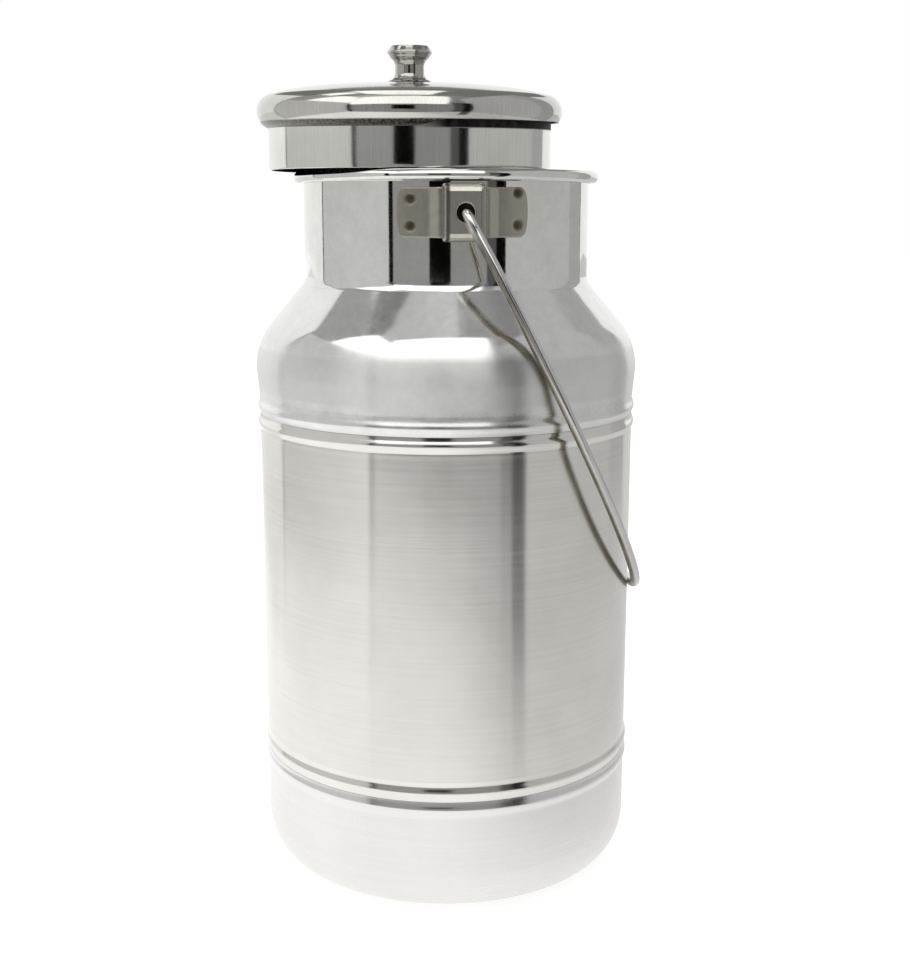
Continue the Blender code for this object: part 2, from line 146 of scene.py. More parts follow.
# ---- mesh tools -------------------------------------------------------------------------------
def finish_mesh(name, bm, body, nodes=(), parent=None, sharp=40.0):
    """Turn a bmesh into a piece that rides on a body and stands for CAD nodes."""
    if parent is not None:
        bmesh.ops.transform(bm, matrix=parent, verts=bm.verts)
    bmesh.ops.remove_doubles(bm, verts=bm.verts, dist=1e-7)
    bmesh.ops.recalc_face_normals(bm, faces=bm.faces)
    mesh = bpy.data.meshes.new(name)
    bm.to_mesh(mesh)
    bm.free()
    mesh.shade_smooth()
    mesh.set_sharp_from_angle(angle=math.radians(sharp))
    piece = bpy.data.objects.new(name, mesh)
    bpy.context.scene.collection.objects.link(piece)
    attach(piece, body)
    if nodes:
        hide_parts(*nodes)
    return piece


def skin(bm, rings, around=True, along=False):
    """Quads between neighbouring rings of vertices; a ring of one vertex is a pole."""
    pairs = list(zip(rings, rings[1:]))
    if along:
        pairs.append((rings[-1], rings[0]))
    for low, high in pairs:
        count = max(len(low), len(high))
        for i in range(count if around else count - 1):
            j = (i + 1) % count
            if len(low) == 1:
                bm.faces.new((low[0], high[j], high[i]))
            elif len(high) == 1:
                bm.faces.new((low[i], low[j], high[0]))
            else:
                bm.faces.new((low[i], low[j], high[j], high[i]))


def lathe(bm, profile, steps=ROUND, loop=False, shift=None):
    """Turn (r, z) points about Z; shift(r, z, angle) may move each point."""
    rings = []
    for r, z in profile:
        if r < 1e-6:
            rings.append([bm.verts.new((0.0, 0.0, z))])
            continue
        ring = []
        for i in range(steps):
            angle = 2.0 * math.pi * i / steps
            r_here, z_here = shift(r, z, angle) if shift else (r, z)
            ring.append(bm.verts.new((r_here * math.cos(angle), r_here * math.sin(angle),
                                      z_here)))
        rings.append(ring)
    skin(bm, rings, along=loop)


def arc(centre, radii, start, end, steps):
    """Points (r, z) of an arc; angles in degrees, 0 pointing outwards and 90 up."""
    points = []
    for i in range(steps + 1):
        angle = math.radians(start + (end - start) * i / steps)
        points.append((centre[0] + radii[0] * math.cos(angle),
                       centre[1] + radii[1] * math.sin(angle)))
    return points


def smooth(value, low, high):
    """0 below low, 1 above high and a smooth rise between."""
    t = min(1.0, max(0.0, (value - low) / (high - low)))
    return t * t * (3.0 - 2.0 * t)


def turn_in(start, corner, end, steps):
    """Points of a curve from start to end that bends towards a corner."""
    points = []
    for i in range(steps + 1):
        t = i / steps
        points.append((1 - t) ** 2 * start + 2 * t * (1 - t) * corner + t * t * end)
    return points


def bead(wall, crest_z, steps=20):
    """Outer line (r, z) of a rolled bead on a wall, from its top to its foot."""
    points = []
    for i in range(steps + 1):
        t = 1.0 - 2.0 * i / steps
        rise = BEAD_RISE * 0.5 * (1.0 + math.cos(math.pi * t))
        points.append((wall + rise, crest_z + BEAD_HALF * t))
    return points


def offset_line(points, distance):
    """The same polyline moved sideways, to the left of its direction when distance > 0."""
    moved = []
    last = len(points) - 1
    for i, point in enumerate(points):
        before = Vector(points[max(i - 1, 0)])
        after = Vector(points[min(i + 1, last)])
        here = Vector(point)
        a = (here - before) if i > 0 else (after - here)
        b = (after - here) if i < last else (here - before)
        a.normalize()
        b.normalize()
        normal = Vector((-a.y - b.y, a.x + b.x))
        normal.normalize()
        stretch = max(0.5, normal.dot(Vector((-a.y, a.x))))
        moved.append(tuple(here + normal * (distance / stretch)))
    return moved


def sheet_loop(outer, thickness=SHEET):
    """Closed section of a sheet from its outer line, which runs top to bottom."""
    inner = offset_line(outer, -thickness)
    return outer + inner[::-1]


def tessellate(points, longest=0.004):
    """Add points along long straight stretches, so shading stays even."""
    out = [points[0]]
    for a, b in zip(points, points[1:]):
        parts = max(1, math.ceil(math.dist(a, b) / longest))
        for i in range(1, parts + 1):
            t = i / parts
            out.append((a[0] + (b[0] - a[0]) * t, a[1] + (b[1] - a[1]) * t))
    return out


# ---- the can ----------------------------------------------------------------------------------
def make_bottom():
    """Drawn pan: lip inside the shell, bead, rounded corner and flat base."""
    width, height = BASE_CORNER
    outer = [(LIP_R, LOWER_SEAM + LAP), (LIP_R, LOWER_SEAM), (BODY_R, LOWER_SEAM - SEAM / 2)]
    outer += bead(BODY_R, LOWER_BEADS[0])[4:]
    outer += tessellate([outer[-1], (BODY_R, height)])[1:-1]
    outer += arc((BODY_R - width, height), BASE_CORNER, 0.0, -90.0, 28)
    outer += tessellate([outer[-1], (BASE_MIDDLE, 0.0)], 0.008)[1:]
    inner = offset_line(outer, -SHEET)
    bm = bmesh.new()
    lathe(bm, [(0.0, SHEET)] + inner[::-1] + outer + [(0.0, 0.0)])
    return finish_mesh("can_bottom", bm, "can", ["bottom_pan"])


def make_wall():
    """Cylinder with a bead at each end, both cut a little short by the seams."""
    outer = [(BODY_R, UPPER_SEAM - SEAM / 2)] + bead(BODY_R, UPPER_BEADS[0])[3:]
    outer += tessellate([outer[-1], bead(BODY_R, LOWER_BEADS[1])[0]])[1:-1]
    outer += bead(BODY_R, LOWER_BEADS[1])[:-3] + [(BODY_R, LOWER_SEAM + SEAM / 2)]
    bm = bmesh.new()
    lathe(bm, sheet_loop(outer), loop=True)
    return finish_mesh("can_wall", bm, "can", ["body_shell"])


def shoulder_turn(steps=6):
    """Arc (r, z) of the shoulder's turn, from the slope down to the wall."""
    centre = (SHOULDER_R - SHOULDER_TURN, SHOULDER_Z)
    return arc(centre, (SHOULDER_TURN, SHOULDER_TURN), SHOULDER_SLOPE, 0.0, steps)


def neck_base():
    """Where (r, z) the shoulder's slope ends at the neck."""
    slope = math.radians(SHOULDER_SLOPE)
    end_r, end_z = shoulder_turn()[0]
    top_r = NECK_R + GAP + SHEET * math.cos(slope)
    return (top_r, end_z + (end_r - top_r) / math.tan(slope))


def make_shoulder():
    """Slope, turn and bead of the shoulder, with its lip inside the shell."""
    turn = shoulder_turn(40)
    outer = tessellate([neck_base(), turn[0]], 0.002)[:-1] + turn
    top = bead(BODY_R, UPPER_BEADS[1])
    outer += tessellate([turn[-1], top[0]], 0.002)[1:-1]
    outer += top[:-3]
    outer += [(BODY_R, UPPER_SEAM + SEAM / 2), (LIP_R, UPPER_SEAM), (LIP_R, UPPER_SEAM - LAP)]
    bm = bmesh.new()
    lathe(bm, sheet_loop(outer), loop=True)
    return finish_mesh("can_shoulder", bm, "can", ["shoulder"])


def make_neck():
    """Straight neck with the rim rolled outwards at its mouth."""
    wall_r = NECK_R - SHEET
    centre = (wall_r + RIM_ROLL, RIM_TOP - RIM_ROLL)
    face = arc(centre, (RIM_ROLL, RIM_ROLL), RIM_CURL, 180.0, 48)
    face += tessellate([face[-1], (wall_r, neck_base()[1] - NECK_LAP)])[1:]
    back = offset_line(face, SHEET)
    bm = bmesh.new()
    lathe(bm, face + back[::-1], loop=True)
    return finish_mesh("can_neck", bm, "can", ["neck_collar"])


def make_neck_weld():
    """Smooth hollow weld, ground back, where the neck stands in the shoulder."""
    slope = math.radians(SHOULDER_SLOPE)
    base_r, base_z = neck_base()
    corner_r = NECK_R + WELD_LIFT
    corner_z = base_z + (base_r - corner_r) / math.tan(slope) + WELD_LIFT
    reach = WELD_FILLET * math.tan(slope / 2)
    centre = (corner_r + WELD_FILLET, corner_z + reach)
    face = arc(centre, (WELD_FILLET, WELD_FILLET), 180.0, 180.0 + SHOULDER_SLOPE, 16)
    section = face + [(corner_r, corner_z)]

    def uneven(r, z, angle):
        """Grinding left the middle of the weld's face slightly wavy."""
        spot = Vector((math.cos(angle) * 9.0, math.sin(angle) * 9.0, z * 100.0))
        wobble = noise.noise(spot) * 0.00010 + noise.noise(spot * 3.1) * 0.00004
        middle = max(0.0, 1.0 - abs(z - corner_z) / reach)
        return (r + wobble * middle, z)

    bm = bmesh.new()
    lathe(bm, section, steps=360, loop=True, shift=uneven)
    return finish_mesh("neck_weld", bm, "can")


# ---- ears -------------------------------------------------------------------------------------
def ear_frame(turn):
    """From an ear's own frame, with the pivot at its origin, to the can's."""
    return Matrix.Translation((0.0, 0.0, PIVOT_Z)) @ Matrix.Rotation(EAR_TURN + turn, 4, "Z")


def strap_line(steps=26):
    """Points (sideways, outwards) on half of the strap's outer face, from the middle out."""
    wing_r = NECK_R + GAP + STRAP_SHEET
    foot = math.asin(BRIDGE_FOOT / wing_r)
    foot_point = Vector((wing_r * math.sin(foot), wing_r * math.cos(foot)))
    bridge_point = Vector((BRIDGE_HALF, BRIDGE_FACE))
    half = [Vector((BRIDGE_HALF * i / 6, BRIDGE_FACE)) for i in range(6)]
    fold = STRAP_FOLD / (foot_point - bridge_point).length
    before = bridge_point - Vector((STRAP_FOLD, 0.0))
    half += turn_in(before, bridge_point, foot_point.lerp(bridge_point, 1.0 - fold), 4)
    beyond_angle = foot + STRAP_FOLD / wing_r
    beyond = Vector((wing_r * math.sin(beyond_angle), wing_r * math.cos(beyond_angle)))
    half += turn_in(foot_point.lerp(bridge_point, fold), foot_point, beyond, 4)
    for i in range(1, steps + 1):
        t = 1.0 - (1.0 - i / steps) ** 1.6
        angle = beyond_angle + (STRAP_HALF_ANGLE - beyond_angle) * t
        half.append(Vector((wing_r * math.sin(angle), wing_r * math.cos(angle))))
    return half


def weld_depth(along, height):
    """How deep the strap is dimpled at one place: 1 in a spot weld's middle, 0 outside."""
    deep = 0.0
    for spot_along, spot_height in WELD_SPOTS:
        far = math.hypot(along - spot_along, height - spot_height) / WELD_R
        deep = max(deep, 1.0 - far ** 4 if far < 1.0 else 0.0)
    return deep


def outline(grid):
    """The vertices round the edge of a grid, in order."""
    return ([column[0] for column in grid] + grid[-1][1:]
            + [column[-1] for column in grid[-2::-1]] + grid[0][-2:0:-1])


def make_strap(name, turn, nodes):
    """Strap with rounded, slightly bulged ends and four dimpled spot welds."""
    half = strap_line()
    line = [Vector((-p.x, p.y)) for p in half[:0:-1]] + half
    lengths = [0.0]
    for a, b in zip(line, line[1:]):
        lengths.append(lengths[-1] + (b - a).length)
    middle = lengths[-1] / 2
    along = [s - middle for s in lengths]
    reach = along[-1]
    crowd = 0.35              # how much the rows of vertices crowd at the strap's edges
    bm = bmesh.new()
    mark = bm.verts.layers.float.new("mark")
    faces = []
    for sign in (1.0, -1.0):  # the outer face, then the inner one
        grid = []
        for point, s in zip(line, along):
            end = reach - abs(s)
            cut = max(0.0, STRAP_CORNER - end)
            half_height = STRAP_HEIGHT / 2 - STRAP_CORNER + math.sqrt(STRAP_CORNER ** 2 - cut ** 2)
            column = []
            for j in range(STRAP_ROWS + 1):
                v = 2.0 * j / STRAP_ROWS - 1.0
                height = (half_height * math.sin(0.5 * math.pi * v) * crowd
                          + half_height * v * (1.0 - crowd))
                draw_in = END_BULGE * (abs(s) / reach) ** 8 * v * v
                place = Matrix.Rotation(math.copysign(draw_in / NECK_R, s), 2) @ point
                edge = min(1.0, min(half_height - abs(height), end) / EDGE_WIDTH)
                rounding = EDGE_DROP * (1.0 - math.sqrt(max(0.0, 1.0 - (1.0 - edge) ** 2)))
                deep = weld_depth(s, height)
                inwards = rounding + WELD_DIMPLE * deep if sign > 0 else STRAP_SHEET
                shown = place - place.normalized() * inwards
                vert = bm.verts.new((shown.x, -shown.y, height))
                vert[mark] = deep
                column.append(vert)
            grid.append(column)
        skin(bm, grid, around=False)
        faces.append(grid)
    skin(bm, [outline(grid) for grid in faces])
    return finish_mesh(name, bm, "can", nodes, parent=ear_frame(turn), sharp=50.0)


def boss_out(x, z):
    """How far the boss's outer face stands out of the bridge at one place."""
    past = []                 # how far down the slope: 0 at the face's edge, 1 at the foot
    for place, base, face in zip((x, z), BOSS_BASE, BOSS_FACE):
        past.append(max(0.0, (abs(place) - face / 2) / (base / 2 - BOSS_FOOT - face / 2)))
    t = min(1.0, (past[0] ** 7 + past[1] ** 7) ** (1.0 / 7.0))
    fall = 0.44 * t + 0.56 * t ** 9     # gentle at first and steep near the foot
    crown = BOSS_CROWN
    for place, reach in zip((x, z), CROWN_REACH):
        crown *= 1.0 - min(1.0, (place / reach) ** 2)
    return BOSS_FOOT + (BOSS_DEPTH - BOSS_FOOT - BOSS_CROWN) * (1.0 - fall) + crown


def boss_crease(x):
    """How much painted dark reflection lies where the boss's face turns into its left or right
    side.
    """
    past = abs(x) - BOSS_FACE[0] / 2
    return ((CREASE_LEFT if x < 0.0 else CREASE_RIGHT) * smooth(past, *CREASE_BEGIN)
            * (1.0 - smooth(past, *CREASE_END)))


def make_boss(name, turn, nodes):
    """Pressed hollow square with rounded edges, a narrow foot and a hole for the bail."""
    steps = 176
    rings_out = 44
    bm = bmesh.new()
    base_out = BRIDGE_FACE + GAP

    def rim_point(angle):
        """Point on the rounded rectangle of the boss's foot in this direction."""
        c, s = math.cos(angle), math.sin(angle)
        square = 14.0         # the larger, the sharper the rectangle's corners
        scale = (abs(c / (BOSS_BASE[0] / 2)) ** square
                 + abs(s / (BOSS_BASE[1] / 2)) ** square) ** (-1 / square)
        return Vector((c * scale, s * scale))

    angles = [2.0 * math.pi * (i + 0.5) / steps for i in range(steps)]
    rim = [rim_point(a) for a in angles]
    hole = [Vector((math.cos(a), math.sin(a))) * BOSS_HOLE_R for a in angles]
    shells = []
    mark = bm.verts.layers.float.new("inside")
    for inside in (0.0, BOSS_SHEET):
        rings = []
        for k in range(rings_out + 1):
            t = k / rings_out
            ring = []
            for a, b in zip(hole, rim):
                spot = a.lerp(b, t)
                out = boss_out(spot.x, spot.y)
                lip = max(0.0, 1.0 - (spot.length - BOSS_HOLE_R) / LIP_WIDTH)
                out -= LIP_TURN * lip * lip
                out = max(out - inside, 0.0)
                ring.append(bm.verts.new((spot.x, -(base_out + out), spot.y)))
                # Painted shade on the inner shell and round the hole's lip; painted dark reflection
                # in the side creases.
                ring[-1][mark] = 1.0 if inside else max(0.2 * lip, boss_crease(spot.x))
            rings.append(ring)
        skin(bm, rings)
        shells.append(rings)
    skin(bm, [shells[0][0], shells[1][0]])
    skin(bm, [shells[0][-1], shells[1][-1]])
    return finish_mesh(name, bm, "can", nodes, parent=ear_frame(turn), sharp=50.0)


# ---- bail -------------------------------------------------------------------------------------
def leg_point(t):
    """Place (down, half-width) on a leg: 0 below the bend at the ear, 1 at the crown."""
    start = Vector((BEND_DROP, BAIL_HALF_AT_EAR))
    steers = (start, start + BAIL_STRAIGHT * Vector((1.0, BAIL_SPLAY)),
              Vector((BAIL_LENGTH, BAIL_CROWN_HALF)), Vector((BAIL_LENGTH, 0.0)))
    weights = ((1 - t) ** 3, 3 * (1 - t) ** 2 * t, 3 * (1 - t) * t ** 2, t ** 3)
    return sum((w * p for w, p in zip(weights, steers)), Vector((0.0, 0.0)))


def half_bail():
    """Points (down, half-width, radius) from the upset head to the crown."""
    inner = BRIDGE_FACE + HEAD_PLAY
    outer = inner + HEAD_LENGTH
    head = [(0.0, inner, 0.6 * HEAD_R), (0.0, inner, HEAD_R - HEAD_EDGE),
            (0.0, inner + 0.3 * HEAD_EDGE, HEAD_R - 0.3 * HEAD_EDGE),
            (0.0, inner + HEAD_EDGE, HEAD_R), (0.0, outer - HEAD_EDGE, HEAD_R),
            (0.0, outer, HEAD_R - HEAD_EDGE), (0.0, outer, WIRE_R)]
    leg = [leg_point(i / 110) for i in range(111)]
    turn_start = Vector((0.0, leg[0].y - BAIL_BEND))
    corner = Vector((0.0, leg[0].y - BEND_TIGHTEN))
    bend = turn_in(turn_start, corner, leg[0], 24)
    return head + [(p.x, p.y, WIRE_R) for p in bend[:-1] + leg]


def make_bail(sides=36):
    """The wire from head to head, turned to where it hangs against the can.

    It marks painted shade on what is inside the bosses, and on the side that faces the can.
    """
    half = half_bail()
    course = half + [(down, -wide, radius) for down, wide, radius in half[-2::-1]]
    last = len(course) - 1
    bm = bmesh.new()
    inside = bm.verts.layers.float.new("inside")
    inner = bm.verts.layers.float.new("inner")
    rings = []
    for i, (down, wide, radius) in enumerate(course):
        before, after = course[max(i - 1, 0)], course[min(i + 1, last)]
        tangent = Vector((after[0] - before[0], after[1] - before[1]))
        if min(i, last - i) <= HEAD_RINGS:
            tangent = Vector((0.0, 1.0))
        tangent.normalize()
        ring = []
        for k in range(sides):
            angle = 2.0 * math.pi * k / sides
            across, out = radius * math.cos(angle), radius * math.sin(angle)
            ring.append(bm.verts.new((out, -wide + across * tangent.x,
                                      -down - across * tangent.y)))
            # Painted shade on the heads inside the bosses and on the side that faces the can.
            ring[-1][inside] = 1.0 - smooth(min(i, last - i), HEAD_RINGS + 1, HEAD_RINGS + 4)
            ring[-1][inner] = smooth(-math.sin(angle), 0.1, 0.7) * smooth(down, 0.006, 0.02)
        rings.append(ring)
    skin(bm, rings)
    bm.faces.new(rings[0])
    bm.faces.new(rings[-1])
    spin = (Matrix.Translation((0.0, 0.0, PIVOT_Z)) @ Matrix.Rotation(EAR_TURN, 4, "Z")
            @ Matrix.Rotation(-BAIL_HANG, 4, "Y"))
    return finish_mesh("bail_wire", bm, "bail", ["bail_handle"], parent=spin)


# ---- lid --------------------------------------------------------------------------------------
def plug_frame():
    """The plug stands on the rim, shifted and slightly tilted."""
    return (Matrix.Translation((-LID_SHIFT, 0.0, RIM_TOP + GAP))
            @ Matrix.Rotation(PLUG_TILT, 4, "Y"))


def cap_frame():
    """The cap leans forward about a point at the height of its rolled edge."""
    lift = Matrix.Translation((0.0, 0.0, CAP_PIVOT))
    lean = Euler((CAP_LEAN, CAP_TILT, 0.0)).to_matrix().to_4x4()
    return Matrix.Translation((-LID_SHIFT, 0.0, RIM_TOP + GAP)) @ lift @ lean @ lift.inverted()


def gape_at(angle):
    """1 where the lid's rolled edge gapes, from a little right of the front to the back."""
    turn = (math.degrees(angle) + 180.0) % 360.0 - 180.0
    return smooth(turn, -90.0, -74.0) * (1.0 - smooth(turn, 70.0, 100.0))


def curl_end(angle):
    """Degrees at which the rolled edge stops here."""
    return CURL_SHUT + (CURL_OPEN - CURL_SHUT) * gape_at(angle)


def make_lid_cap():
    """Dome and rolled edge; the shut part of the edge ends in a rough joint band."""
    centre = (FLANGE_R - EDGE_ROLL, FLANGE_HEIGHT)
    start_r, start_z = arc(centre, (EDGE_ROLL, EDGE_ROLL), ROLL_START, ROLL_START, 1)[0]
    dome = [(SCREW_R + GAP, DOME_TOP)]
    for i in range(1, 40):
        t = math.sqrt(i / 40)
        dome.append((start_r * t, DOME_TOP - (DOME_TOP - start_z) * t ** DOME_POWER))
    roll_steps = 48
    outer_count = len(dome) + roll_steps + 1
    bm = bmesh.new()
    joint = bm.verts.layers.float.new("joint")
    inside = bm.verts.layers.float.new("inside")
    sections = []
    for i in range(ROUND):
        angle = 2.0 * math.pi * i / ROUND
        roll = arc(centre, (EDGE_ROLL, EDGE_ROLL), ROLL_START, curl_end(angle), roll_steps)
        sections.append(sheet_loop(dome + roll))
    rings = []
    for k in range(len(sections[0])):
        ring = []
        for i in range(ROUND):
            angle = 2.0 * math.pi * i / ROUND
            r, z = sections[i][k]
            vert = bm.verts.new((r * math.cos(angle), r * math.sin(angle), z))
            if k < outer_count:
                below = -math.degrees(math.atan2(z - centre[1], r - centre[0]))
                wander = 2.5 * noise.noise(Vector((math.cos(angle), math.sin(angle), 0.3)) * 3.0)
                band = smooth(below + wander, *JOINT_BAND) if k > len(dome) else 0.0
                front = 0.5 - 0.5 * math.sin(angle)     # 1 at the front, 0 at the back
                vert[joint] = band * (0.42 + 0.58 * front ** 2)
            else:
                # Painted shade on the cap's underside and inside its rolled edge.
                vert[inside] = 1.0
            ring.append(vert)
        rings.append(ring)
    skin(bm, rings, along=True)
    return finish_mesh("lid_dome", bm, "lid", ["lid_cap"], parent=cap_frame())


def make_lid_plug():
    """Cylinder under the cap, cut off along the leaning cap's underside."""
    outer = [(PLUG_R - PLUG_EDGE, PLUG_HEIGHT), (PLUG_R, PLUG_HEIGHT - PLUG_EDGE)]
    for r, z in tessellate([outer[-1], (PLUG_R, PLUG_EDGE)], 0.0003)[1:]:
        outer.append((r - FOOT_TURN * max(0.0, 1.0 - z / FOOT_HEIGHT) ** 2, z))
    outer += [(PLUG_R - FOOT_TURN - PLUG_EDGE, 0.0)]
    inner = [(r - SHEET, z) for r, z in outer]
    seen = cap_frame().inverted() @ plug_frame()

    def cut(r, z, angle):
        """Squeeze the plug's height to where the cap's underside is."""
        x, y = r * math.cos(angle), r * math.sin(angle)
        top = (PLUG_HEIGHT - seen[2][0] * x - seen[2][1] * y - seen[2][3]) / seen[2][2]
        return (r, z * top / PLUG_HEIGHT)

    bm = bmesh.new()
    lathe(bm, outer + inner[::-1], loop=True, shift=cut)
    # Painted shade on the plug's top, behind the gaping edge.
    inside = bm.verts.layers.float.new("inside")
    for vert in bm.verts:
        height = (seen @ vert.co).z
        gape = gape_at(math.atan2(vert.co.y, vert.co.x))
        vert[inside] = smooth(height, PAINTED_SHADE_LINE - 0.0004, PAINTED_SHADE_LINE + 0.0004) * gape
    return finish_mesh("lid_plug", bm, "lid", ["lid_plug_ring"],
                       parent=plug_frame())


def smooth_line(points, parts):
    """Catmull-Rom curve through (r, z) points, each stretch of it in parts."""
    out = []
    last = len(points) - 1
    for i in range(last):
        p0, p1 = Vector(points[max(i - 1, 0)]), Vector(points[i])
        p2, p3 = Vector(points[i + 1]), Vector(points[min(i + 2, last)])
        for k in range(parts):
            t = k / parts
            out.append(tuple(0.5 * ((2 * p1) + (p2 - p0) * t
                                    + (2 * p0 - 5 * p1 + 4 * p2 - p3) * t * t
                                    + (3 * p1 - p0 - 3 * p2 + p3) * t ** 3)))
    out.append(tuple(points[-1]))
    return out


def make_knob():
    """Turned knob: flat top, bevelled rim, waist and a brimmed foot."""
    foot = DOME_TOP + GAP
    top = foot + KNOB_HEIGHT
    r = KNOB_TOP_R
    outer = [(0.0, top - 0.0002), (0.004, top - 0.0002), (r - 0.0026, top - 0.00005)]
    outer += smooth_line([(r - 0.0024, top), (r - 0.0019, top - 0.0003),
                          (r - 0.0002, top - 0.0026)], 4)[:-1]
    outer += smooth_line([(r - 0.0002, top - 0.0026), (r, top - 0.0031),
                          (r - 0.0001, top - 0.0037), (r - 0.0010, top - 0.0050)], 4)[:-1]
    outer += smooth_line([(r - 0.0010, top - 0.0050), (0.0102, top - 0.0060),
                          (0.0086, top - 0.0076), (KNOB_WAIST_R, top - 0.0098),
                          (KNOB_WAIST_R, top - 0.0120), (0.0078, top - 0.0145),
                          (0.0087, top - 0.0163), (0.0096, top - 0.0171)], 8)
    outer += [(KNOB_FOOT_R - 0.0004, foot + 0.0019), (KNOB_FOOT_R, foot + 0.0016),
              (KNOB_FOOT_R, foot + 0.0011), (KNOB_FOOT_R - 0.0018, foot)]
    outer += [(KNOB_BORE_R, foot), (KNOB_BORE_R, foot + KNOB_BORE), (0.0, foot + KNOB_BORE)]
    bm = bmesh.new()
    lathe(bm, outer, steps=96)
    return finish_mesh("lid_knob_turned", bm, "lid", ["lid_knob"],
                       parent=cap_frame(), sharp=28.0)


# ---- materials --------------------------------------------------------------------------------
class Nodes:
    """Short way to write a material's node tree."""

    def __init__(self, name):
        self.material = bpy.data.materials.new(name)
        self.material.use_nodes = True
        self.tree = self.material.node_tree
        self.shader = self.tree.nodes["Principled BSDF"]

    def node(self, kind, **inputs):
        """Add a node: set_x sets its property x, i0 its first input, From_Min its "From Min"."""
        made = self.tree.nodes.new(kind)
        for key, value in inputs.items():
            if key.startswith("set_"):
                setattr(made, key[4:], value)
                continue
            label = int(key[1:]) if key[1:].isdigit() else key.replace("_", " ")
            socket = made.inputs[label]
            if isinstance(value, bpy.types.NodeSocket):
                self.tree.links.new(value, socket)
            else:
                socket.default_value = value
        return made

    def link(self, out, socket_name):
        """Feed an input of the material's shader."""
        self.tree.links.new(out, self.shader.inputs[socket_name])

    def math(self, operation, a, b):
        """Combine two values, each of them a number or a socket."""
        return self.node("ShaderNodeMath", set_operation=operation, i0=a, i1=b).outputs[0]

    def ramp(self, fac, low, high, to_low=0.0, to_high=1.0):
        """Map the span low to high on the span to_low to to_high."""
        made = self.node("ShaderNodeMapRange", Value=fac, From_Min=low, From_Max=high,
                         To_Min=to_low, To_Max=to_high)
        return made.outputs[0]

    def grain(self, scale, detail, stretch=(1.0, 1.0, 1.0), rough=0.55):
        """Noise in the piece's own frame, finer along an axis the more it is stretched."""
        where = self.node("ShaderNodeTexCoord").outputs["Object"]
        mapped = self.node("ShaderNodeMapping", Vector=where, Scale=stretch).outputs[0]
        return self.node("ShaderNodeTexNoise", Vector=mapped, Scale=scale, Detail=detail,
                         Roughness=rough).outputs["Fac"]

    def mix(self, fac, a, b):
        """Blend two colours."""
        made = self.node("ShaderNodeMix", set_data_type="RGBA")
        for index, value in ((0, fac), (6, a), (7, b)):
            if isinstance(value, bpy.types.NodeSocket):
                self.tree.links.new(value, made.inputs[index])
            else:
                made.inputs[index].default_value = value
        return made.outputs[2]

    def bump(self, height, distance, under=None):
        """Normal for a relief of this depth in metres, on top of the normal under it."""
        made = self.node("ShaderNodeBump", Height=height, Strength=1.0, Distance=distance)
        if under is not None:
            self.tree.links.new(under, made.inputs["Normal"])
        return made.outputs[0]


def metal(name, dark, light, rough, rough_spread, streak, streak_depth, wave=None, wave_depth=0.0,
          marks=(), zones=(), zone_rough=0.0, stretched=0.0):
    """Steel with fine streaks along one direction, faint clouding and shallow waves.

    Its colour and roughness wander between dark and light and by rough_spread about rough.
    A streak is the grain's stretch, a wave the scale and stretch of the waves.
    Each mark is a mesh attribute, the colour it brings, the roughness there, its grain and
    how much of it the grain leaves at least.
    Each zone is a band of heights, its soft edge and how far a polished piece is brushed there;
    stretched is how far the brushing draws reflections out up and down.
    """
    n = Nodes(name)
    n.shader.inputs["Metallic"].default_value = 1.0
    cloud = n.grain(22.0, 4.0)
    fine = n.grain(1.0, 4.0, streak, 0.7)
    shade = n.ramp(n.math("ADD", n.math("MULTIPLY", cloud, 0.6), n.math("MULTIPLY", fine, 0.4)),
                   0.35, 0.65)
    colour = n.mix(shade, (*dark, 1.0), (*light, 1.0))
    gloss = n.ramp(n.math("ADD", n.math("MULTIPLY", cloud, 0.5), n.math("MULTIPLY", fine, 0.5)),
                   0.3, 0.7, rough - rough_spread, rough + rough_spread)
    # Marks paint real stains, such as spot welds and the lid's joint, and also painted shade.
    for attribute, stain_and_shade, stain_and_shade_rough, scale, least in marks:
        where = n.node("ShaderNodeAttribute", set_attribute_name=attribute).outputs["Fac"]
        patchy = n.ramp(n.grain(1.0, 4.0, scale, 0.6), 0.35, 0.60, least, 1.0)
        amount = n.math("MULTIPLY", where, patchy)
        colour = n.mix(amount, colour, (*stain_and_shade, 1.0))
        gloss = n.math("ADD", gloss, n.math("MULTIPLY", amount, stain_and_shade_rough - rough))
    if zones:
        height = n.node("ShaderNodeSeparateXYZ",
                        Vector=n.node("ShaderNodeTexCoord").outputs["Object"]).outputs["Z"]
        brushed_here = 0.0
        for low, high, soft, amount in zones:
            band = n.math("MULTIPLY", n.ramp(height, low - soft, low + soft, 0.0, amount),
                          n.ramp(height, high - soft, high + soft, 1.0, 0.0))
            brushed_here = n.math("ADD", brushed_here, band)
        gloss = n.math("ADD", gloss, n.math("MULTIPLY", brushed_here, zone_rough - rough))
        n.link(n.math("MULTIPLY", brushed_here, stretched), "Anisotropic")
        n.shader.inputs["Anisotropic Rotation"].default_value = QUARTER_TURN
        tangent = n.node("ShaderNodeTangent", set_direction_type="RADIAL", set_axis="Z")
        n.link(tangent.outputs[0], "Tangent")
    n.link(colour, "Base Color")
    n.link(gloss, "Roughness")
    normal = n.bump(fine, streak_depth)
    if wave is not None:
        normal = n.bump(n.grain(wave[0], 2.0, wave[1], 0.4), wave_depth, normal)
    n.link(normal, "Normal")
    return n.material


def paint(piece, material):
    """Give a piece this one material."""
    piece.data.materials.clear()
    piece.data.materials.append(material)


# ---- the model --------------------------------------------------------------------------------
bottom = make_bottom()
wall = make_wall()
shoulder = make_shoulder()
neck = make_neck()
weld = make_neck_weld()
straps = [make_strap("strap_front", 0.0, ["ear_strap_front"]),
          make_strap("strap_rear", math.pi, ["ear_strap_rear"])]
bosses = [make_boss("boss_front", 0.0, ["ear_boss_front"]),
          make_boss("boss_rear", math.pi, ["ear_boss_rear"])]
bail = make_bail()
cap = make_lid_cap()
plug = make_lid_plug()
knob = make_knob()

